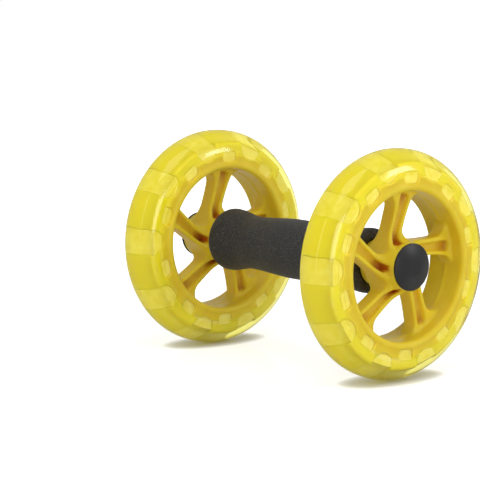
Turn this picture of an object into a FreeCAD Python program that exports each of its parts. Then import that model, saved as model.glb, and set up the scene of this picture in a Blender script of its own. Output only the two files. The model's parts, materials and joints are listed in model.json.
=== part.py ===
import FreeCAD, Part
import math
import os

# Ab wheel roller: a foam grip on a tube, with a free-running wheel at each end of one axle.
# Millimetres, +Z up. The axle lies along Y at wheel height, and the wheels stand on Z = 0.

# Wheels
tread_diameter = 140.0
tyre_width = 30.0
wheel_spacing = 167.0           # from one wheel's middle plane to the other's
spoke_turn = -2.0               # degrees from +X up to the first spoke's line
lobe_turn = 16.0                # the same for the first of the rim's slots

# Tyre section: a rounded bar whose sides flatten towards the bead
tyre_section_depth = 20.0       # from the widest point out to the tread
tyre_squareness = 2.35          # 2 would be an ellipse
tyre_fill_recess = 0.1          # tyre material in the core's slots lies this much below the face

# Rim section, inwards from the tread
tread_thickness = 7.5           # tyre over the core's drum
drum_wall = 6.5                 # from the drum's surface to the slots
bead_lap = 1.0                  # how far the tyre's sides reach in over the slots
slot_depth = 6.0
slot_wall = 0.6                 # between the slots and the lip
lip_width = 3.9

# Rim section, inwards from the tyre's widest points
band_recess = 1.0               # flat band between lip and bead
drum_recess = 2.8
lip_round = 2.4
lip_edge_round = 0.7
drum_edge_round = 2.0
mould_line_height = 0.6
mould_line_width = 1.6

# Anchors for the tyre: slots through the rim under each lobe, and notches between the lobes
lobe_count = 10
slot_share = 0.33               # of the pitch from lobe to lobe
slot_corner = 2.2
notch_share = 0.246             # a notch's radius at the face, of the same pitch
notch_draft = 1.0               # how much smaller that radius is on the middle plane
notch_sink = 0.9                # a notch's centre lies this far under the drum's surface

# Hub
hub_wall = 3.2                  # round the bearings
hub_outer_reach = 0.3           # past the tyre's widest point
hub_inner_recess = 0.4
bearing_shoulder_radius = 9.6
hub_blend_lap = 0.4             # where the spokes' faces rise to the hub, they end this far outside it
hub_blend_recess = 1.0          # and this far short of the hub's inner end

# Spokes: a pinwheel, as each one's middle line passes beside the axle
spoke_count = 5
spoke_offset_share = 0.669      # from the axle to that line, of the hub's radius
spoke_waist_share = 0.41        # of the way from the hub to the rim
spoke_root_half = 5.6
spoke_waist_half = 5.1
spoke_tip_half = 7.0
spoke_depth_share = 0.347       # of the tyre's width
spoke_sink = 3.1                # the spokes end this far inside the rim
window_sink = 0.4               # the windows end this far inside the rim's wall
window_apex_share = 0.15        # corner radii, of the distance from the hub to the rim
window_corner_share = 0.25
ridge_round = 0.8
groove_floor_half = 2.0         # half the thickness left between the two faces' grooves
groove_half = 2.4
groove_tip_half = 3.6
groove_tip_wall = 3.2           # from the groove to the rim
groove_end_bulge = 1.2
groove_corner = 1.5

# Ball bearings
bearing_bore = 8.0
bearing_diameter = 22.0
bearing_width = 7.0
bearing_inner_shoulder = 6.05
bearing_outer_shoulder = 8.95
ball_diameter = 3.97
ball_count = 7
ball_clearance = 0.03
race_groove_radius = 2.06
cage_thickness = 1.2
cage_half_width = 2.4
cage_pocket_clearance = 0.06
shield_thickness = 0.35
shield_sink = 0.15
shield_seat_radius = 9.6
shield_gap = 0.3

# Axle and its hardware
axle_fit = 0.05
axle_tip = 0.5                  # how far the axle stands past its nuts
axle_cover_gap = 0.8            # from the axle's end to the hub's end
axle_chamfer = 0.7
inner_washer_thickness = 1.0
inner_washer_diameter = 12.0
spacer_diameter = 11.6
outer_washer_thickness = 1.5
outer_washer_diameter = 16.0
nut_flats = 13.0
nut_height = 6.5
nut_corner_chamfer = 0.5

# Grip and tube
grip_gap = 0.4                  # between the grip's end and the turning hub
grip_belly_diameter = 37.7
grip_waist_diameter = 33.8
grip_end_diameter = 40.0
grip_waist_share = 0.607        # of the way from the middle to the grip's end
grip_end_round = 5.0
tube_diameter = 25.0
tube_wall = 1.6
tube_fit = 0.05
plug_flange = 2.5
plug_length = 20.0

# Hub caps
cap_overhang = 0.1              # past the hub
cap_edge = 1.2
cap_edge_round = 0.3
cap_dome_rise = 2.6
cap_flat_radius = 5.0
cap_skirt_length = 6.0
cap_skirt_wall = 1.5
cap_skirt_fit = 0.08
cap_pocket_depth = 1.0
cap_finger_slots = 4
cap_finger_gap = 2.0

# Worked out from the sizes above
wheel_radius = tread_diameter / 2
tyre_half_width = tyre_width / 2
half_spacing = wheel_spacing / 2
tyre_section_centre = wheel_radius - tyre_section_depth
drum_radius = wheel_radius - tread_thickness
slot_outer_radius = drum_radius - drum_wall
slot_inner_radius = slot_outer_radius - slot_depth
bead_radius = slot_outer_radius - bead_lap
lip_outer_radius = slot_inner_radius - slot_wall
rim_bore_radius = lip_outer_radius - lip_width
band_half_width = tyre_half_width - band_recess
drum_half_width = tyre_half_width - drum_recess
lobe_step = 360.0 / lobe_count
lobe_pitch = math.pi * (slot_inner_radius + slot_outer_radius) / lobe_count
slot_length = slot_share * lobe_pitch
notch_centre_radius = drum_radius - notch_sink
notch_face_radius = notch_share * lobe_pitch
notch_middle_radius = notch_face_radius - notch_draft

axle_radius = bearing_bore / 2
bearing_radius = bearing_diameter / 2
ball_radius = ball_diameter / 2
ball_circle_radius = (bearing_inner_shoulder + bearing_outer_shoulder) / 2
tube_radius = tube_diameter / 2
hub_radius = bearing_radius + hub_wall
hub_outer_end = tyre_half_width + hub_outer_reach
hub_inner_end = tyre_half_width - hub_inner_recess
cap_radius = hub_radius + cap_overhang

spoke_step = 360.0 / spoke_count
spoke_run = rim_bore_radius - hub_radius
spoke_offset = spoke_offset_share * hub_radius
spoke_waist_radius = hub_radius + spoke_waist_share * spoke_run
spoke_reach = rim_bore_radius + spoke_sink
spoke_half_depth = spoke_depth_share * tyre_half_width
spoke_root_half_depth = hub_inner_end - hub_blend_recess
hub_blend = spoke_root_half_depth - spoke_half_depth
hub_blend_start = hub_radius + hub_blend_lap
hub_blend_end = hub_blend_start + hub_blend
window_outer_radius = rim_bore_radius + window_sink
window_apex_round = window_apex_share * spoke_run
window_outer_corner = window_corner_share * spoke_run
groove_end_radius = rim_bore_radius - groove_tip_wall

# Stations along the axle, outward from the wheel's middle plane
grip_end_station = -hub_inner_end - grip_gap
inboard_bearing = grip_end_station + inner_washer_thickness
spacer_start = inboard_bearing + bearing_width
axle_end = hub_outer_end - axle_cover_gap
nut_start = axle_end - axle_tip - nut_height
washer_start = nut_start - outer_washer_thickness
outboard_bearing = washer_start - bearing_width
bearing_spacer_length = outboard_bearing - spacer_start
grip_half_length = half_spacing + grip_end_station
grip_waist_offset = grip_waist_share * grip_half_length

vec = FreeCAD.Vector
centre = vec(0, 0, 0)
axle_line = vec(0, 1, 0)
tiny = 0.01                     # for telling equal places apart from different ones
os.makedirs("parts", exist_ok=True)


def keep(name, *solids):
    shape = solids[0] if len(solids) == 1 else Part.makeCompound(list(solids))
    shape.exportStep("parts/" + name + ".step")


def around(angle, shape):
    # Turns a copy about the axle, from +X up towards +Z
    turned_copy = shape.copy()
    turned_copy.rotate(centre, axle_line, -angle)
    return turned_copy


def at(point):
    return vec(point[0], point[1], 0)


def outline_edges(start, stops):
    # Each stop is a (radius, station) corner, or (middle point, end point) of an arc
    edges = []
    here = start
    for stop in list(stops) + [start]:
        if isinstance(stop[0], tuple):
            middle, there = stop
            edges.append(Part.Arc(at(here), at(middle), at(there)).toShape())
        else:
            there = stop
            edges.append(Part.LineSegment(at(here), at(there)).toShape())
        here = there
    return edges


def turn_edges(edges):
    return Part.Face(Part.Wire(edges)).revolve(centre, axle_line, 360)


def turned(start, *stops):
    return turn_edges(outline_edges(start, stops))


def ring(inner, outer, low, high):
    return turned((inner, low), (outer, low), (outer, high), (inner, high))


def rod(radius, low, high):
    return Part.makeCylinder(radius, high - low, vec(0, low, 0), axle_line)


def round_corner(middle, radius, degrees):
    # The middle point of a rounded corner, seen from its centre
    turn = math.radians(degrees)
    return (middle[0] + radius * math.cos(turn), middle[1] + radius * math.sin(turn))


def smooth_run(points):
    curve = Part.BSplineCurve()
    curve.interpolate([at(point) for point in points])
    return curve.toShape()


# Foam grip: a belly in the middle, a waist on each side and a rounded flare at each end
def grip_radius(station):
    belly = grip_belly_diameter / 2
    waist = grip_waist_diameter / 2
    flare = grip_end_diameter / 2
    away = abs(station)
    flare_start = grip_half_length - grip_end_round
    if away <= grip_waist_offset:
        return waist + (belly - waist) * (1 + math.cos(math.pi * away / grip_waist_offset)) / 2
    share = (away - grip_waist_offset) / (flare_start - grip_waist_offset)
    return waist + (flare - waist) * (1 - math.cos(math.pi * share)) / 2


def foam_grip():
    bore = tube_radius + tube_fit
    flare = grip_end_diameter / 2
    flare_start = grip_half_length - grip_end_round
    steps = 24
    stations = [flare_start * (2 * step / steps - 1) for step in range(steps + 1)]
    contour = smooth_run([(grip_radius(station), station) for station in stations])
    shoulder = flare - grip_end_round
    upper_round = round_corner((shoulder, flare_start), grip_end_round, 45)
    lower_round = round_corner((shoulder, -flare_start), grip_end_round, -45)
    ends = outline_edges((flare, flare_start), [
        (upper_round, (shoulder, grip_half_length)),
        (bore, grip_half_length),
        (bore, -grip_half_length),
        (shoulder, -grip_half_length),
        (lower_round, (flare, -flare_start)),
    ])
    return turn_edges(ends[:-1] + [contour])


# Tube, plugs and axle
def handle_tube():
    reach = grip_half_length - plug_flange
    return ring(tube_radius - tube_wall, tube_radius, -reach, reach)


def tube_plug():
    bore = axle_radius + axle_fit
    body = tube_radius - tube_wall - tube_fit
    flange_start = grip_end_station - plug_flange
    inner_end = grip_end_station - plug_length
    return turned((bore, inner_end), (body, inner_end), (body, flange_start), (tube_radius, flange_start),
                  (tube_radius, grip_end_station), (bore, grip_end_station))


def axle_rod():
    reach = half_spacing + axle_end
    neck = axle_radius - axle_chamfer
    return turned((0, -reach), (neck, -reach), (axle_radius, axle_chamfer - reach),
                  (axle_radius, reach - axle_chamfer), (neck, reach), (0, reach))


def washer(diameter, low, thickness):
    return ring(axle_radius + axle_fit, diameter / 2, low, low + thickness)


def axle_nut():
    corner = nut_flats / math.sqrt(3)
    turns = [math.radians(60 * k) for k in range(7)]
    corners = [vec(corner * math.cos(turn), nut_start, corner * math.sin(turn)) for turn in turns]
    block = Part.Face(Part.makePolygon(corners)).extrude(vec(0, nut_height, 0))
    nut_end = nut_start + nut_height
    envelope = turned((0, nut_start), (corner, nut_start), (corner, nut_end - nut_corner_chamfer),
                      (nut_flats / 2, nut_end), (0, nut_end))
    return block.common(envelope).cut(rod(axle_radius + axle_fit, nut_start - 1, nut_end + 1))


# Ball bearing, from its inner end at the given station
def inner_race(low):
    groove = Part.makeTorus(ball_circle_radius - ball_radius - ball_clearance + race_groove_radius,
                            race_groove_radius, vec(0, low + bearing_width / 2, 0), axle_line)
    return ring(axle_radius + axle_fit, bearing_inner_shoulder, low, low + bearing_width).cut(groove)


def outer_race(low):
    high = low + bearing_width
    seat = shield_sink + shield_thickness
    body = turned((shield_seat_radius, low), (bearing_radius, low), (bearing_radius, high),
                  (shield_seat_radius, high), (shield_seat_radius, high - seat),
                  (bearing_outer_shoulder, high - seat), (bearing_outer_shoulder, low + seat),
                  (shield_seat_radius, low + seat))
    groove = Part.makeTorus(ball_circle_radius + ball_radius + ball_clearance - race_groove_radius,
                            race_groove_radius, vec(0, low + bearing_width / 2, 0), axle_line)
    return body.cut(groove)


def shields(low):
    inner = bearing_inner_shoulder + shield_gap
    near = low + shield_sink
    far = low + bearing_width - shield_sink - shield_thickness
    return [ring(inner, shield_seat_radius, start, start + shield_thickness) for start in (near, far)]


def ball_set(low):
    first = Part.makeSphere(ball_radius, vec(ball_circle_radius, low + bearing_width / 2, 0))
    return [around(360.0 * k / ball_count, first) for k in range(ball_count)]


def ball_cage(low):
    middle = low + bearing_width / 2
    band = ring(ball_circle_radius - cage_thickness / 2, ball_circle_radius + cage_thickness / 2,
                middle - cage_half_width, middle + cage_half_width)
    pocket = Part.makeCylinder(ball_radius + cage_pocket_clearance, bearing_radius,
                               vec(0, middle, 0), vec(1, 0, 0))
    return band.cut([around(360.0 * k / ball_count, pocket) for k in range(ball_count)])


# Wheel core: hub and spokes
def flat_wire(edges_of_points):
    # Arcs through three (x, z) points each, on the wheel's middle plane
    edges = [Part.Arc(*[vec(x, 0, z) for x, z in points]).toShape() for points in edges_of_points]
    return Part.Wire(edges)


def bar(wire, low, high):
    prism = Part.Face(wire).extrude(vec(0, high - low, 0))
    prism.translate(vec(0, low, 0))
    return prism


def swing(point, degrees):
    turn = math.radians(degrees)
    x, z = point
    return (x * math.cos(turn) - z * math.sin(turn), x * math.sin(turn) + z * math.cos(turn))


def abreast(height, radius):
    # The place on a line along +X, at this height over the axle, that is this far from the axle
    return (math.sqrt(radius ** 2 - height ** 2), height)


def axial_edges(prism, points):
    # Edges along the axle through these (x, z) points
    chosen = []
    for edge in prism.Edges:
        first, last = edge.Vertexes[0].Point, edge.Vertexes[-1].Point
        if abs(first.y - last.y) < tiny:
            continue
        if any(math.hypot(first.x - x, first.z - z) < tiny for x, z in points):
            chosen.append(edge)
    return chosen


def spoke_window():
    # Opening between the upper side of a spoke along +X and the lower side of the next one
    above = spoke_offset + spoke_root_half
    below = spoke_offset - spoke_root_half
    turn = math.radians(spoke_step)
    apex = ((above * math.cos(turn) - below) / math.sin(turn), above)
    waist = abreast(spoke_offset + spoke_waist_half, spoke_waist_radius)
    tip = abreast(spoke_offset + spoke_tip_half, window_outer_radius)
    next_waist = swing(abreast(spoke_offset - spoke_waist_half, spoke_waist_radius), spoke_step)
    next_tip = swing(abreast(spoke_offset - spoke_tip_half, window_outer_radius), spoke_step)
    angles = [math.degrees(math.atan2(z, x)) for x, z in (tip, next_tip)]
    half_arc = (angles[1] - angles[0]) / 2
    rim_arc = [tip, swing(tip, half_arc), next_tip]
    wire = flat_wire([[apex, waist, tip], rim_arc, [next_tip, next_waist, apex]])
    prism = bar(wire, -tyre_width, tyre_width)
    prism = prism.makeFillet(window_outer_corner, axial_edges(prism, [tip, next_tip]))
    return prism.makeFillet(window_apex_round, axial_edges(prism, [apex]))


def spoke_groove():
    # Channel in one face of a spoke that runs along +X, from inside the hub
    waist = abreast(spoke_offset, spoke_waist_radius)[0]
    end = abreast(spoke_offset, groove_end_radius)[0]
    middle = spoke_offset
    side = middle + groove_half
    upper = [(0, side), (waist, side), (end, middle + groove_tip_half)]
    lower = [(x, 2 * middle - z) for x, z in reversed(upper)]
    wire = flat_wire([
        upper,
        [upper[-1], (end + groove_end_bulge, middle), lower[0]],
        lower,
        [lower[-1], (-groove_end_bulge, middle), upper[0]],
    ])
    prism = bar(wire, groove_floor_half, tyre_width)
    return prism.makeFillet(groove_corner, axial_edges(prism, [upper[-1], lower[0]]))


def spoke_face_edges(spider):
    # Rims of the windows and grooves on the two dished faces
    chosen = []
    for edge in spider.Edges:
        first, last = edge.Vertexes[0].Point, edge.Vertexes[-1].Point
        axial = abs(first.x - last.x) + abs(first.z - last.z) < tiny < abs(first.y - last.y)
        middle = edge.valueAt((edge.FirstParameter + edge.LastParameter) / 2)
        away = math.hypot(middle.x, middle.z)
        high = abs(middle.y) > groove_floor_half + ridge_round
        if high and not axial and hub_blend_start < away < spoke_reach - ridge_round:
            chosen.append(edge)
    return chosen


def spokes():
    root = (hub_blend_start, spoke_root_half_depth)
    foot = (hub_blend_end, spoke_half_depth)
    blend = round_corner((foot[0], root[1]), hub_blend, 225)
    disc = turned((0, -root[1]), (root[0], -root[1]), ((blend[0], -blend[1]), (foot[0], -foot[1])),
                  (spoke_reach, -foot[1]), (spoke_reach, foot[1]), foot, (blend, root), (0, root[1]))
    window = spoke_window()
    spider = disc.cut([around(spoke_step * k, window) for k in range(spoke_count)])
    front = spoke_groove()
    back = front.mirror(centre, axle_line)
    grooves = [around(spoke_step * k, groove) for k in range(spoke_count) for groove in (front, back)]
    spider = spider.cut(grooves)
    return spider.makeFillet(ridge_round, spoke_face_edges(spider))


def hub_barrel():
    return rod(hub_radius, -hub_inner_end, hub_outer_end)


def hub_bores():
    inboard_seat = rod(bearing_radius, -tyre_width, spacer_start)
    shoulder = rod(bearing_shoulder_radius, spacer_start - 1, outboard_bearing + 1)
    outboard_seat = rod(bearing_radius, outboard_bearing, tyre_width)
    return [inboard_seat, shoulder, outboard_seat]


# Wheel core: rim, with its lip, band and lobed drum
def rim_ring():
    lip_round_end = rim_bore_radius + lip_round
    lip_low = tyre_half_width - lip_round
    edge_low = tyre_half_width - lip_edge_round
    edge_start = lip_outer_radius - lip_edge_round
    drum_low = drum_half_width - drum_edge_round
    drum_start = drum_radius - drum_edge_round
    mould_line_half = mould_line_width / 2
    lip_middle = round_corner((lip_round_end, lip_low), lip_round, 135)
    edge_middle = round_corner((edge_start, edge_low), lip_edge_round, 45)
    drum_middle = round_corner((drum_start, drum_low), drum_edge_round, 45)

    def below(point):
        return (point[0], -point[1])

    upper = [
        (lip_middle, (lip_round_end, tyre_half_width)),
        (edge_start, tyre_half_width),
        (edge_middle, (lip_outer_radius, edge_low)),
        (lip_outer_radius, band_half_width),
        (bead_radius, band_half_width),
        (bead_radius, drum_half_width),
        (drum_start, drum_half_width),
        (drum_middle, (drum_radius, drum_low)),
    ]
    lower = [
        (drum_radius, -drum_low),
        (below(drum_middle), (drum_start, -drum_half_width)),
        (bead_radius, -drum_half_width),
        (bead_radius, -band_half_width),
        (lip_outer_radius, -band_half_width),
        (lip_outer_radius, -edge_low),
        (below(edge_middle), (edge_start, -tyre_half_width)),
        (lip_round_end, -tyre_half_width),
        (below(lip_middle), (rim_bore_radius, -lip_low)),
        (rim_bore_radius, -mould_line_half),
        (rim_bore_radius - mould_line_height, -mould_line_half),
        (rim_bore_radius - mould_line_height, mould_line_half),
        (rim_bore_radius, mould_line_half),
    ]
    return turned((rim_bore_radius, lip_low), *upper, *lower)


def rim_slot():
    depth = slot_outer_radius - slot_inner_radius
    block = Part.makeBox(depth, 2 * tyre_width, slot_length,
                         vec(slot_inner_radius, -tyre_width, -slot_length / 2))
    edges = [edge for edge in block.Edges if abs(edge.Vertexes[0].Point.y - edge.Vertexes[1].Point.y) > 1]
    return block.makeFillet(slot_corner, edges)


def rim_notch():
    # Drafted from both faces, so it is shallowest on the middle plane
    place = vec(notch_centre_radius, 0, 0)
    halves = [Part.makeCone(notch_middle_radius, notch_face_radius, tyre_half_width, place, axle_line * way)
              for way in (1, -1)]
    return halves[0].fuse(halves[1])


def wheel_core():
    slot, notch = rim_slot(), rim_notch()
    slots = [around(lobe_step * k, slot) for k in range(lobe_count)]
    notches = [around(lobe_step * (k + 0.5), notch) for k in range(lobe_count)]
    rim = around(lobe_turn, rim_ring().cut(slots + notches))
    return around(spoke_turn, spokes()).fuse([hub_barrel(), rim]).cut(hub_bores())


# Tyre: cast round the drum, through its slots and into its notches
def tyre_radius(station):
    share = 1 - (abs(station) / tyre_half_width) ** tyre_squareness
    return tyre_section_centre + tyre_section_depth * share ** (1 / tyre_squareness)


def bead_station():
    share = (bead_radius - tyre_section_centre) / tyre_section_depth
    return tyre_half_width * (1 - share ** tyre_squareness) ** (1 / tyre_squareness)


def tyre(core):
    edge = bead_station()
    steps = 12
    stations = [edge * math.sin(math.pi / 2 * (step / steps - 1)) for step in range(2 * steps + 1)]
    tread = smooth_run([(tyre_radius(station), station) for station in stations])
    fill = band_half_width - tyre_fill_recess
    root = (rim_bore_radius + lip_outer_radius) / 2
    sides = outline_edges((bead_radius, edge), [
        (bead_radius, fill),
        (root, fill),
        (root, -fill),
        (bead_radius, -fill),
        (bead_radius, -edge),
    ])
    return turn_edges(sides[:-1] + [tread]).cut(core)


# Hub cap: a low dome with a small flat, and a split skirt that snaps into the hub
def hub_cap():
    base = hub_outer_end
    edge_top = base + cap_edge
    top_radius = cap_radius - cap_edge_round
    dome_radius = (top_radius ** 2 + cap_dome_rise ** 2) / (2 * cap_dome_rise)
    dome_centre = edge_top + cap_dome_rise - dome_radius

    def dome(radius):
        return (radius, dome_centre + math.sqrt(dome_radius ** 2 - radius ** 2))

    skirt = bearing_radius - cap_skirt_fit
    skirt_inside = skirt - cap_skirt_wall
    skirt_end = base - cap_skirt_length
    edge_middle = round_corner((top_radius, edge_top - cap_edge_round), cap_edge_round, 45)
    body = turned((0, base + cap_pocket_depth), (skirt_inside, base + cap_pocket_depth),
                  (skirt_inside, skirt_end), (skirt, skirt_end), (skirt, base), (cap_radius, base),
                  (cap_radius, edge_top - cap_edge_round), (edge_middle, (top_radius, edge_top)),
                  (dome((top_radius + cap_flat_radius) / 2), dome(cap_flat_radius)),
                  (0, dome(cap_flat_radius)[1]))
    gap = Part.makeBox(cap_radius, cap_skirt_length, cap_finger_gap,
                       vec(0, skirt_end - 0.5, -cap_finger_gap / 2))
    return body.cut([around(360.0 * k / cap_finger_slots, gap) for k in range(cap_finger_slots)])


def place(side, shape):
    # side is +1 for the left wheel, at +Y, and -1 for the right one, its mirror image
    placed = shape.copy() if side > 0 else shape.mirror(centre, axle_line)
    placed.translate(vec(0, side * half_spacing, wheel_radius))
    return placed


def raised(shape):
    lifted = shape.copy()
    lifted.translate(vec(0, 0, wheel_radius))
    return lifted


keep("foam_grip", raised(foam_grip()))
keep("handle_tube", raised(handle_tube()))
keep("axle_rod", raised(axle_rod()))

core = wheel_core()
end_pieces = {
    "tube_plug": tube_plug(),
    "inner_washer": washer(inner_washer_diameter, grip_end_station, inner_washer_thickness),
    "bearing_spacer": washer(spacer_diameter, spacer_start, bearing_spacer_length),
    "outer_washer": washer(outer_washer_diameter, washer_start, outer_washer_thickness),
    "axle_nut": axle_nut(),
    "wheel_core": core,
    "tyre": tyre(core),
    "hub_cap": hub_cap(),
}
bearings = {"inboard_bearing": inboard_bearing, "outboard_bearing": outboard_bearing}

for side_name, side in {"left": 1, "right": -1}.items():
    for piece, shape in end_pieces.items():
        keep(side_name + "_" + piece, place(side, shape))
    for bearing, low in bearings.items():
        name = side_name + "_" + bearing
        keep(name + "_inner_race", place(side, inner_race(low)))
        keep(name + "_outer_race", place(side, outer_race(low)))
        keep(name + "_cage", place(side, ball_cage(low)))
        keep(name + "_balls", *[place(side, ball) for ball in ball_set(low)])
        keep(name + "_shields", *[place(side, shield) for shield in shields(low)])
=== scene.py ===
import json
import math

import bpy
import numpy as np
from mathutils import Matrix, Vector


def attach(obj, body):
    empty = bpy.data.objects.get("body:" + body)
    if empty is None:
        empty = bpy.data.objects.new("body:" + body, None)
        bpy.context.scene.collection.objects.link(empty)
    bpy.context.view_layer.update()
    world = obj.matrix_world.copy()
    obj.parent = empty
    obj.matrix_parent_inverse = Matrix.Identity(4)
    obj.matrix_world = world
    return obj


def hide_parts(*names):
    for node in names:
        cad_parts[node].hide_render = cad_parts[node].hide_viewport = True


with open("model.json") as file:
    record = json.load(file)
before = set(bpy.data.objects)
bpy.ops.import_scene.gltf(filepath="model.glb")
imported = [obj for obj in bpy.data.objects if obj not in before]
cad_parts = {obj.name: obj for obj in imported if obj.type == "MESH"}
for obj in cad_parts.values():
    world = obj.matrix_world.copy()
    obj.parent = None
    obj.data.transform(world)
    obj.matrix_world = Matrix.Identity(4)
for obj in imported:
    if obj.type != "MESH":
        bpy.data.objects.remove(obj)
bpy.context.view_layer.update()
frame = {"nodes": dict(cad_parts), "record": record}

nodes = frame["nodes"]
mm = 0.001
wheels = {"left": 83.5, "right": -83.5}  # each wheel's middle plane along Y
axleHeight = 70.0
weldGap = 0.002  # points this close, in mm, become one
creaseAngle = math.radians(32)  # edges sharper than this stay crisp


def linear(hexColour):
    channels = [int(hexColour[i:i + 2], 16) / 255 for i in (1, 3, 5)]
    return tuple(c / 12.92 if c <= 0.04045 else ((c + 0.055) / 1.055) ** 2.4 for c in channels) + (1.0,)


def perMm(size):  # texture scale for a pattern of that size, on coordinates in metres
    return 1000.0 / size


def addNode(tree, kind, inputs=None, stops=(), **settings):  # stops: a ramp's places and hex colours
    node = tree.nodes.new(kind)
    for name, value in settings.items():
        setattr(node, name, value)
    for socket, value in (inputs or {}).items():
        if isinstance(value, bpy.types.NodeSocket):
            tree.links.new(value, node.inputs[socket])
        else:
            node.inputs[socket].default_value = value
    for row, (place, colour) in enumerate(stops):
        elements = node.color_ramp.elements
        element = elements[row] if row < len(elements) else elements.new(place)
        element.position = place
        element.color = linear(colour)
    return node


def newMaterial(name):  # with its node tree and the coordinates that its patterns lie on
    material = bpy.data.materials.new(name)
    material.use_nodes = True
    tree = material.node_tree
    tree.nodes.clear()
    return material, tree, addNode(tree, "ShaderNodeTexCoord").outputs["Object"]


# camera and stage
cameraSpot = {
    "lens": 165.0, "sensor": 36.0, "place": (-919.9, -1016.1, 263.7), "heading": -40.59, "down": 7.8,
}

cameraData = bpy.data.cameras.new("photoCamera")
cameraData.lens = cameraSpot["lens"]
cameraData.sensor_width = cameraSpot["sensor"]
cameraData.clip_start = 0.05
cameraData.clip_end = 50.0
camera = bpy.data.objects.new("photoCamera", cameraData)
camera.location = [v * mm for v in cameraSpot["place"]]
camera.rotation_euler = (math.radians(90 - cameraSpot["down"]), 0, math.radians(cameraSpot["heading"]))
bpy.context.scene.collection.objects.link(camera)
bpy.context.scene.camera = camera
bpy.context.scene.view_settings.view_transform = "Standard"

floorLook = {
    "size": 12.0, "sink": 0.02, "colours": ("#F0F0EE", "#F2F2F0"), "mottle": 180.0, "gloss": 0.2,
    "glossRoughness": 0.06, "liftNear": 0.6, "liftFar": 1.0, "fade": (180, 520),
    "paintedShadowReach": 11.0, "paintedShadowFall": 3.0,  # reach of the painted shadow line under the wheels, and how fast it fades
}

bpy.ops.object.select_all(action="DESELECT")
bpy.ops.mesh.primitive_plane_add(size=floorLook["size"], location=(0, 0, -floorLook["sink"] * mm))
floor = bpy.context.object
floor.name = "studioFloor"

# painted studio sweep: matt white with a faint sheen, lifted to white where the camera looks
floorMaterial, tree, where = newMaterial("matt white studio floor")
mottle = addNode(tree, "ShaderNodeTexNoise", {
    "Vector": where, "Scale": perMm(floorLook["mottle"]), "Detail": 2.0}).outputs["Fac"]
paint = addNode(tree, "ShaderNodeValToRGB", {"Fac": mottle}, stops=zip((0.3, 0.7), floorLook["colours"]))
rays = addNode(tree, "ShaderNodeLightPath").outputs
seen = addNode(tree, "ShaderNodeMath", {
    0: rays["Is Camera Ray"], 1: rays["Is Transmission Ray"]}, operation="MAXIMUM")
away = addNode(tree, "ShaderNodeVectorMath", {0: where}, operation="LENGTH").outputs["Value"]
share = addNode(tree, "ShaderNodeMapRange", {
    "Value": away, "From Min": floorLook["fade"][0] * mm, "From Max": floorLook["fade"][1] * mm,
    "To Min": floorLook["liftNear"], "To Max": floorLook["liftFar"]})
lift = addNode(tree, "ShaderNodeMath", {0: seen.outputs[0], 1: share.outputs[0]}, operation="MULTIPLY")
# painted shadow: occlusion cuts the floor's lift near the wheels, which adds a dark line on top of their real
# shadow
near = addNode(tree, "ShaderNodeAmbientOcclusion", {"Distance": floorLook["paintedShadowReach"] * mm}, samples=8)
openness = addNode(tree, "ShaderNodeMath", {
    0: near.outputs["AO"], 1: floorLook["paintedShadowFall"]}, operation="POWER")
lift = addNode(tree, "ShaderNodeMath", {0: lift.outputs[0], 1: openness.outputs[0]}, operation="MULTIPLY")
matt = addNode(tree, "ShaderNodeBsdfDiffuse", {"Color": paint.outputs["Color"]})
sheen = addNode(tree, "ShaderNodeBsdfGlossy", {"Roughness": floorLook["glossRoughness"]})
coat = addNode(tree, "ShaderNodeMixShader", {0: floorLook["gloss"], 1: matt.outputs[0], 2: sheen.outputs[0]})
glow = addNode(tree, "ShaderNodeEmission", {"Strength": lift.outputs[0]})
both = addNode(tree, "ShaderNodeAddShader", {0: coat.outputs[0], 1: glow.outputs[0]})
addNode(tree, "ShaderNodeOutputMaterial", {"Surface": both.outputs[0]})
floor.data.materials.append(floorMaterial)

worldLook = {"ambient": 0.5, "mirrored": 0.5, "background": 1.0}

world = bpy.data.worlds.new("whiteStudio")
bpy.context.scene.world = world
world.use_nodes = True
tree = world.node_tree
tree.nodes.clear()
rays = addNode(tree, "ShaderNodeLightPath").outputs
seen = addNode(tree, "ShaderNodeMath", {
    0: rays["Is Camera Ray"], 1: rays["Is Transmission Ray"]}, operation="MAXIMUM")
mirrored = addNode(tree, "ShaderNodeMath", {
    0: rays["Is Glossy Ray"], 1: worldLook["mirrored"]}, operation="MULTIPLY")
strength = addNode(tree, "ShaderNodeMapRange", {
    "Value": seen.outputs[0], "To Min": worldLook["ambient"], "To Max": worldLook["background"]})
strength = addNode(tree, "ShaderNodeMath", {
    0: strength.outputs[0], 1: mirrored.outputs[0]}, operation="MAXIMUM")
sky = addNode(tree, "ShaderNodeBackground", {"Color": (1, 1, 1, 1), "Strength": strength.outputs[0]})
addNode(tree, "ShaderNodeOutputWorld", {"Surface": sky.outputs[0]})

lamps = {
    "topSoftbox": {"place": (-250, -350, 1150), "aim": (0, 0, 60), "size": (700, 700), "watts": 2.6},
    "leftStrip": {"place": (-1150, -150, 420), "aim": (0, 0, 70), "size": (120, 1000), "watts": 0.9},
    "capSoftbox": {"place": (720, -900, 480), "aim": (0, -99, 75), "size": (240, 240), "watts": 1.3},
    "frontSoftbox": {"place": (-250, -1250, 300), "aim": (0, -60, 60), "size": (400, 500), "watts": 2.5},
}
for name, look in lamps.items():
    data = bpy.data.lights.new(name, "AREA")
    data.shape = "RECTANGLE"
    data.size = look["size"][0] * mm
    data.size_y = look["size"][1] * mm
    data.energy = look["watts"]
    lamp = bpy.data.objects.new(name, data)
    lamp.location = [v * mm for v in look["place"]]
    aim = Vector(look["aim"]) - Vector(look["place"])
    lamp.rotation_euler = aim.to_track_quat("-Z", "Y").to_euler()
    bpy.context.scene.collection.objects.link(lamp)
print("stage ready")
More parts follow.
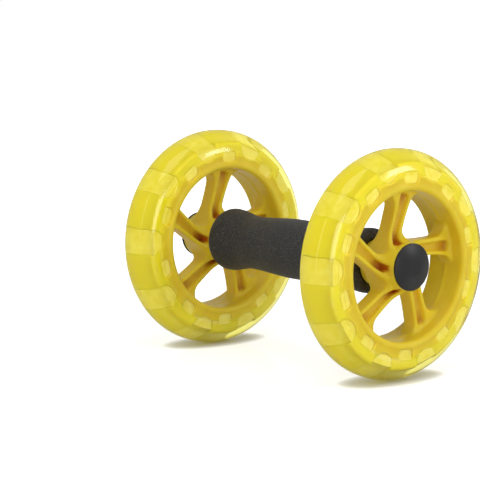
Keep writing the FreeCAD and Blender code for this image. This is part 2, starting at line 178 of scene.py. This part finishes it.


# moulded nylon: sun yellow with a soft gloss; painted shade turns it orange deep in the grooves, and painted
# light turns the drum under the tyre lemon
nylonLook = {
    "colours": ("#ECCF30", "#F4DA3E"), "cloud": 16.0, "groove": "#B4500F", "drum": "#E6DB22",
    "skin": 1.6, "rough": (0.24, 0.36), "bump": 0.06, "relief": 0.2, "gloss": 0.25,
    "inGlow": 0.5, "inReach": 5.0, "inSpread": (1.0, 0.72, 0.06),  # light that sinks in, red furthest
}

yellowNylon, tree, where = newMaterial("moulded yellow nylon")
cloud = addNode(tree, "ShaderNodeTexNoise", {
    "Vector": where, "Scale": perMm(nylonLook["cloud"]), "Detail": 3.0}).outputs["Fac"]
skin = addNode(tree, "ShaderNodeTexNoise", {
    "Vector": where, "Scale": perMm(nylonLook["skin"]), "Detail": 2.0}).outputs["Fac"]
sunny = addNode(tree, "ShaderNodeValToRGB", {"Fac": cloud}, stops=zip((0.3, 0.7), nylonLook["colours"]))
# painted shade: orange mixed in where the grooves are deep, for the shade and bounced light there
depth = addNode(tree, "ShaderNodeAttribute", attribute_name="grooveDepth").outputs["Fac"]
tinted = addNode(tree, "ShaderNodeMix", {
    0: depth, 6: sunny.outputs["Color"], 7: linear(nylonLook["groove"])}, data_type="RGBA")
# painted light: the drum under the clear tyre is drawn lemon, as the nylon looks where it is lit through the
# tyre
drum = addNode(tree, "ShaderNodeAttribute", attribute_name="paintedDrumLight").outputs["Fac"]
tinted = addNode(tree, "ShaderNodeMix", {
    0: drum, 6: tinted.outputs[2], 7: linear(nylonLook["drum"])}, data_type="RGBA")
rough = addNode(tree, "ShaderNodeMapRange", {
    "Value": skin, "To Min": nylonLook["rough"][0], "To Max": nylonLook["rough"][1]})
peel = addNode(tree, "ShaderNodeBump", {
    "Height": skin, "Strength": nylonLook["bump"], "Distance": nylonLook["relief"] * mm})
body = addNode(tree, "ShaderNodeBsdfPrincipled", {
    "Base Color": tinted.outputs[2], "Roughness": rough.outputs[0], "Specular IOR Level": nylonLook["gloss"],
    "Normal": peel.outputs[0], "Subsurface Weight": nylonLook["inGlow"],
    "Subsurface Radius": nylonLook["inSpread"], "Subsurface Scale": nylonLook["inReach"] * mm})
addNode(tree, "ShaderNodeOutputMaterial", {"Surface": body.outputs[0]})

# cast clear urethane: see-through, with a pale lemon body that deepens with thickness and a glossy skin
urethaneLook = {
    "skin": "#FFFFF4", "body": "#FFFB6A", "density": 60.0, "ior": 1.49, "flow": 9.0, "rough": (0.07, 0.13),
    "bump": 0.05, "relief": 0.4, "glowMottle": 5.0, "glowColours": ("#E8DA44", "#F0E670"), "glowRough": 0.16,
}

clearUrethane, tree, where = newMaterial("cast clear lemon urethane")
flow = addNode(tree, "ShaderNodeTexNoise", {
    "Vector": where, "Scale": perMm(urethaneLook["flow"]), "Detail": 2.0}).outputs["Fac"]
rough = addNode(tree, "ShaderNodeMapRange", {
    "Value": flow, "To Min": urethaneLook["rough"][0], "To Max": urethaneLook["rough"][1]})
ripple = addNode(tree, "ShaderNodeBump", {
    "Height": flow, "Strength": urethaneLook["bump"], "Distance": urethaneLook["relief"] * mm})
clear = addNode(tree, "ShaderNodeBsdfPrincipled", {
    "Base Color": linear(urethaneLook["skin"]), "Roughness": rough.outputs[0], "IOR": urethaneLook["ior"],
    "Transmission Weight": 1.0, "Normal": ripple.outputs[0]})
through = addNode(tree, "ShaderNodeBsdfTransparent", {"Color": linear(urethaneLook["skin"])})
shadow = addNode(tree, "ShaderNodeLightPath").outputs["Is Shadow Ray"]
skin = addNode(tree, "ShaderNodeMixShader", {0: shadow, 1: clear.outputs[0], 2: through.outputs[0]})
tint = addNode(tree, "ShaderNodeVolumeAbsorption", {
    "Color": linear(urethaneLook["body"]), "Density": urethaneLook["density"]})
addNode(tree, "ShaderNodeOutputMaterial", {"Surface": skin.outputs[0], "Volume": tint.outputs[0]})

# the same urethane in the rim's slots and notches, drawn opaque pale lemon and soft: painted light, for the
# light that shines through them
glowingUrethane, tree, where = newMaterial("urethane fill painted with light")
glowMottle = addNode(tree, "ShaderNodeTexNoise", {
    "Vector": where, "Scale": perMm(urethaneLook["glowMottle"]), "Detail": 2.0}).outputs["Fac"]
# painted light: pale lemon standing for light shining through the urethane in the slots and notches
paintedGlow = addNode(tree, "ShaderNodeValToRGB", {
    "Fac": glowMottle}, stops=zip((0.3, 0.7), urethaneLook["glowColours"]))
soft = addNode(tree, "ShaderNodeBsdfPrincipled", {
    "Base Color": paintedGlow.outputs["Color"], "Roughness": urethaneLook["glowRough"],
    "IOR": urethaneLook["ior"]})
addNode(tree, "ShaderNodeOutputMaterial", {"Surface": soft.outputs[0]})

# closed-cell foam: matt charcoal, its cut cells catch small pale specks (drawn at 0.8 mm, so that they show)
foamLook = {
    "cell": 0.8, "gritRough": 0.7, "specks": ((0.34, "#1D1D1F"), (0.54, "#2E2E30"), (0.7, "#77777A")),
    "wear": 24.0, "worn": ((0.3, "#222223"), (0.7, "#343436")), "wornShare": 0.35,
    "bump": 0.45, "relief": 0.3, "rough": 0.6, "gloss": 0.45, "sheen": 0.06, "sheenRough": 0.5,
}

gripFoam, tree, where = newMaterial("closed-cell charcoal foam")
cells = addNode(tree, "ShaderNodeTexVoronoi", {
    "Vector": where, "Scale": perMm(foamLook["cell"])}).outputs["Distance"]
grit = addNode(tree, "ShaderNodeTexNoise", {
    "Vector": where, "Scale": perMm(foamLook["cell"]), "Detail": 3.0,
    "Roughness": foamLook["gritRough"]}).outputs["Fac"]
wear = addNode(tree, "ShaderNodeTexNoise", {
    "Vector": where, "Scale": perMm(foamLook["wear"]), "Detail": 2.0}).outputs["Fac"]
speck = addNode(tree, "ShaderNodeValToRGB", {"Fac": grit}, stops=foamLook["specks"])
rubbed = addNode(tree, "ShaderNodeValToRGB", {"Fac": wear}, stops=foamLook["worn"])
worn = addNode(tree, "ShaderNodeMix", {
    0: foamLook["wornShare"], 6: speck.outputs["Color"], 7: rubbed.outputs["Color"]}, data_type="RGBA")
pits = addNode(tree, "ShaderNodeMath", {0: cells, 1: grit}, operation="ADD")
bump = addNode(tree, "ShaderNodeBump", {
    "Height": pits.outputs[0], "Strength": foamLook["bump"], "Distance": foamLook["relief"] * mm})
foam = addNode(tree, "ShaderNodeBsdfPrincipled", {
    "Base Color": worn.outputs[2], "Roughness": foamLook["rough"], "Specular IOR Level": foamLook["gloss"],
    "Sheen Weight": foamLook["sheen"], "Sheen Roughness": foamLook["sheenRough"], "Normal": bump.outputs[0]})
addNode(tree, "ShaderNodeOutputMaterial", {"Surface": foam.outputs[0]})


# one finish for the caps and for each kind of hard inner piece, with its grain in mm
hardRelief = 0.2  # height in mm behind each of these finishes' bumps
hardFinishes = {
    "black_cap": {"name": "satin black ABS", "colours": ("#0E0E10", "#171719"), "rough": (0.32, 0.44),
                  "grain": 0.7, "bump": 0.16, "metal": 0.0, "gloss": 0.5},  # fine moulded spark texture
    "steel": {"name": "zinc plated steel", "colours": ("#A9ABAD", "#C3C5C6"), "rough": (0.26, 0.42),
              "grain": 2.2, "bump": 0.05, "metal": 1.0, "gloss": 0.5},  # bluish grey, cloudy plating
    "bearing_steel": {"name": "ground bearing steel", "colours": ("#B9BABC", "#CFD0D1"), "rough": (0.12, 0.2),
                      "grain": 0.8, "bump": 0.03, "metal": 1.0, "gloss": 0.5},  # bright, fine grinding marks
    "bearing_cage": {"name": "pressed steel cage", "colours": ("#9D9B93", "#B5B2A8"), "rough": (0.3, 0.44),
                     "grain": 1.2, "bump": 0.05, "metal": 1.0, "gloss": 0.5},  # dull from the press
    "black_nylon": {"name": "moulded black nylon", "colours": ("#191919", "#222224"), "rough": (0.42, 0.55),
                    "grain": 1.0, "bump": 0.08, "metal": 0.0, "gloss": 0.4},  # plain moulded skin
}
hardMaterials = {}
for slot, look in hardFinishes.items():
    material, tree, where = newMaterial(look["name"])
    grain = addNode(tree, "ShaderNodeTexNoise", {
        "Vector": where, "Scale": perMm(look["grain"]), "Detail": 3.0}).outputs["Fac"]
    tone = addNode(tree, "ShaderNodeValToRGB", {"Fac": grain}, stops=zip((0.32, 0.68), look["colours"]))
    rough = addNode(tree, "ShaderNodeMapRange", {
        "Value": grain, "To Min": look["rough"][0], "To Max": look["rough"][1]})
    bump = addNode(tree, "ShaderNodeBump", {
        "Height": grain, "Strength": look["bump"], "Distance": hardRelief * mm})
    hard = addNode(tree, "ShaderNodeBsdfPrincipled", {
        "Base Color": tone.outputs["Color"], "Roughness": rough.outputs[0], "Metallic": look["metal"],
        "Normal": bump.outputs[0], "Specular IOR Level": look["gloss"]})
    addNode(tree, "ShaderNodeOutputMaterial", {"Surface": hard.outputs[0]})
    hardMaterials[slot] = material

slotOf = {part["node"]: part["material_slot"] for part in frame["record"]["subparts"]}
for name, node in nodes.items():
    if slotOf[name] in hardMaterials:
        node.data.materials.clear()
        node.data.materials.append(hardMaterials[slotOf[name]])
print("materials ready")


def turnPiece(name, profile, middle, steps):  # profile: (radius, station) in mm, round the axle
    bpy.ops.object.select_all(action="DESELECT")
    bpy.ops.mesh.primitive_plane_add(size=mm)
    piece = bpy.context.object
    piece.name = name
    piece.data.name = name
    bpy.ops.object.mode_set(mode="EDIT")
    bpy.ops.mesh.select_all(action="SELECT")
    bpy.ops.mesh.merge(type="CENTER")
    radius, station = profile[0]
    bpy.ops.transform.translate(value=(radius * mm, (middle + station) * mm, axleHeight * mm))
    for nextRadius, nextStation in profile[1:]:
        step = ((nextRadius - radius) * mm, (nextStation - station) * mm, 0)
        bpy.ops.mesh.extrude_region_move(TRANSFORM_OT_translate={"value": step})
        radius, station = nextRadius, nextStation
    bpy.ops.mesh.select_all(action="SELECT")
    bpy.ops.mesh.spin(steps=steps, angle=math.tau, center=(0, 0, axleHeight * mm), axis=(0, 1, 0))
    bpy.ops.mesh.select_all(action="SELECT")
    bpy.ops.mesh.remove_doubles(threshold=weldGap * mm)
    bpy.ops.mesh.normals_make_consistent(inside=False)
    bpy.ops.object.mode_set(mode="OBJECT")
    return piece


tyreShape = {
    "treadRadius": 70.0, "depth": 20.0, "halfWidth": 15.0, "squareness": 2.35, "beadRadius": 55.0,
    "beadLine": 0.45, "beadStep": 0.1, "fill": 13.9, "root": 48.0, "rows": 26, "steps": 240,
    "partingDepth": 0.1, "partingHalf": 0.25, "partingEdge": 0.005,  # the mould's line round the tread
}


def tyreProfile(look):
    tread = look["treadRadius"]
    centre = tread - look["depth"]
    power = look["squareness"]
    bead = look["beadRadius"]
    share = (bead - centre) / look["depth"]
    edge = look["halfWidth"] * (1 - share ** power) ** (1 / power)
    stations = [edge * math.sin(math.pi / 2 * (row / look["rows"])) for row in range(look["rows"] + 1)]
    side = []
    for station in reversed(stations[1:]):
        radius = centre + look["depth"] * (1 - (station / look["halfWidth"]) ** power) ** (1 / power)
        side.append((radius, station))
    outer = [(look["root"], look["fill"]), (bead - look["beadLine"], look["fill"])]
    outer += [(bead - look["beadStep"], edge - look["beadLine"])] + side
    outer += [(tread - look["partingEdge"], look["partingHalf"]), (tread - look["partingDepth"], 0.0)]
    lower = [(radius, -station) for radius, station in reversed(outer[:-1])]
    return outer + lower + [outer[0]]


litFills = {  # urethane inside the rim, in mm, drawn as painted light: it shows only in the slots and, crowned, in the notches
    "slot_fill_near": {"inner": 49.7, "outer": 56.4, "from": 9.0, "to": 12.0, "crown": 0.0, "rows": 2},
    "slot_fill_far": {"inner": 49.7, "outer": 56.4, "from": -12.0, "to": -9.0, "crown": 0.0, "rows": 2},
    "notch_fill": {"inner": 52.5, "outer": 60.4, "from": -11.6, "to": 11.6, "crown": 1.8, "rows": 14},
}


def fillProfile(look):
    profile = [(look["inner"], look["from"])]
    for row in range(look["rows"] + 1):
        share = row / look["rows"]
        rise = look["crown"] * 4 * share * (1 - share)
        profile.append((look["outer"] + rise, look["from"] + share * (look["to"] - look["from"])))
    return profile + [(look["inner"], look["to"]), profile[0]]


for side, middle in wheels.items():
    tyre = turnPiece(side + "_clear_tyre", tyreProfile(tyreShape), middle, tyreShape["steps"])
    tyre.data.materials.append(clearUrethane)
    bpy.ops.object.shade_smooth_by_angle(angle=creaseAngle)
    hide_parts(side + "_tyre")
    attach(tyre, side + "_wheel")
    for name, look in litFills.items():
        # painted light: opaque pale pieces where light shines through the slots and notches
        fill = turnPiece(side + "_" + name, fillProfile(look), middle, tyreShape["steps"])
        fill.data.materials.append(glowingUrethane)
        bpy.ops.object.shade_smooth_by_angle(angle=creaseAngle)
        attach(fill, side + "_wheel")
print("tyres ready")


gripShape = {
    "half": 68.5, "belly": 18.85, "waist": 16.9, "waistAt": 41.6, "flare": 20.0, "bore": 12.55,
    "endRound": 5.0, "roundStep": 15, "rows": 72, "steps": 120, "unevenness": 0.22, "unevenSize": 14.0,
}


def gripRadius(look, station):
    away = abs(station)
    waist = look["waist"]
    if away <= look["waistAt"]:
        return waist + (look["belly"] - waist) * (1 + math.cos(math.pi * away / look["waistAt"])) / 2
    share = (away - look["waistAt"]) / (look["half"] - look["endRound"] - look["waistAt"])
    return waist + (look["flare"] - waist) * (1 - math.cos(math.pi * share)) / 2


def gripProfile(look):
    reach = look["half"] - look["endRound"]
    shoulder = look["flare"] - look["endRound"]
    profile = []
    for row in range(look["rows"] + 1):
        station = reach * (2 * row / look["rows"] - 1)
        profile.append((gripRadius(look, station), station))
    corner = []
    for turn in range(look["roundStep"], 91, look["roundStep"]):
        angle = math.radians(turn)
        radius = shoulder + look["endRound"] * math.cos(angle)
        corner.append((radius, reach + look["endRound"] * math.sin(angle)))
    profile += corner
    profile += [(look["bore"], look["half"]), (look["bore"], 0.0), (look["bore"], -look["half"])]
    profile += [(radius, -station) for radius, station in reversed(corner)]
    return profile + [profile[0]]


grip = turnPiece("foam_hand_grip", gripProfile(gripShape), 0.0, gripShape["steps"])
swell = bpy.data.textures.new("foamSwell", "CLOUDS")
swell.noise_scale = gripShape["unevenSize"] * mm
swell.noise_depth = 1
uneven = grip.modifiers.new("unevenFoam", "DISPLACE")
uneven.texture = swell
uneven.texture_coords = "LOCAL"
uneven.strength = gripShape["unevenness"] * mm
bpy.ops.object.modifier_apply(modifier="unevenFoam")
bpy.ops.object.shade_smooth()
grip.data.materials.append(gripFoam)
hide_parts("foam_grip")
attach(grip, "handle")
print("grip ready")


# wheel cores: the moulded shape, with the soft inner corners that a mould gives
coreShape = {
    "voxel": 0.82, "smoothing": 4, "softness": 0.5, "spokes": 5, "spokeTurn": -2.0, "offset": 9.5,
    "faceDepth": 5.2, "blend": 8.4, "blendEnd": 23.0,  # the spokes' faces, and their rise to the hub
    "grooveHalf": 3.2, "grooveStart": 10.5, "grooveEnd": 41.5, "wallSoft": 0.8, "endSoft": 1.0,
    "sinkFrom": 1.0, "sinkOver": 3.0, "midShade": 0.25, "endReach": 9.0,  # where painted shade turns the grooves orange
    "drumTint": 0.9, "drumFrom": 52.0, "drumTo": 57.0,  # radii between which painted light turns the drum lemon
}


def paintCoreLightAndShade(mesh, middle, look):  # painted shade: deep groove ends go orange; painted light: the drum under the tyre goes lemon
    points = np.empty(len(mesh.vertices) * 3)
    mesh.vertices.foreach_get("co", points)
    x, y, z = (points.reshape(-1, 3) / mm - (0, middle, axleHeight)).T
    radius = np.hypot(x, z)
    climb = np.clip(look["blendEnd"] - radius, 0, look["blend"])
    face = look["faceDepth"] + look["blend"] - np.sqrt(look["blend"] ** 2 - climb ** 2)
    sunk = np.clip((face - np.abs(y) - look["sinkFrom"]) / look["sinkOver"], 0, 1)
    tint = np.zeros(len(x))
    # painted shade mask: strongest deep in each groove and near its ends
    for spoke in range(look["spokes"]):
        turn = math.radians(look["spokeTurn"] + 360.0 * spoke / look["spokes"])
        along = x * math.cos(turn) + z * math.sin(turn)
        across = np.abs(z * math.cos(turn) - x * math.sin(turn) - look["offset"])
        toEnd = np.minimum(along - look["grooveStart"], look["grooveEnd"] - along)
        inside = np.clip((look["grooveHalf"] - across) / look["wallSoft"], 0, 1)
        inside = inside * np.clip(toEnd / look["endSoft"] + 1, 0, 1)
        ends = look["midShade"] + (1 - look["midShade"]) * np.clip(1 - toEnd / look["endReach"], 0, 1)
        tint = np.maximum(tint, inside * ends)
    # painted light mask: grows outward across the drum under the tyre
    outward = (radius - look["drumFrom"]) / (look["drumTo"] - look["drumFrom"])
    drum = look["drumTint"] * np.clip(outward, 0, 1)
    for name, values in {"grooveDepth": sunk * tint, "paintedDrumLight": drum}.items():
        attribute = mesh.attributes.new(name, "FLOAT", "POINT")
        attribute.data.foreach_set("value", values.astype(np.float32))


for side, middle in wheels.items():
    bpy.ops.object.select_all(action="DESELECT")
    core = bpy.data.objects.new(side + "_moulded_core", nodes[side + "_wheel_core"].data.copy())
    bpy.context.scene.collection.objects.link(core)
    bpy.context.view_layer.objects.active = core
    core.select_set(True)
    bpy.ops.object.mode_set(mode="EDIT")
    bpy.ops.mesh.select_all(action="SELECT")
    bpy.ops.mesh.remove_doubles(threshold=weldGap * mm)
    bpy.ops.object.mode_set(mode="OBJECT")
    grid = core.modifiers.new("mouldGrid", "REMESH")
    grid.mode = "VOXEL"
    grid.voxel_size = coreShape["voxel"] * mm
    soften = core.modifiers.new("softCorners", "SMOOTH")
    soften.factor = coreShape["softness"]
    soften.iterations = coreShape["smoothing"]
    for modifier in ("mouldGrid", "softCorners"):
        bpy.ops.object.modifier_apply(modifier=modifier)
    bpy.ops.object.shade_smooth()
    core.data.materials.clear()
    core.data.materials.append(yellowNylon)
    paintCoreLightAndShade(core.data, middle, coreShape)
    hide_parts(side + "_wheel_core")
    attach(core, side + "_wheel")
    print(side, "core ready:", len(core.data.polygons), "faces")
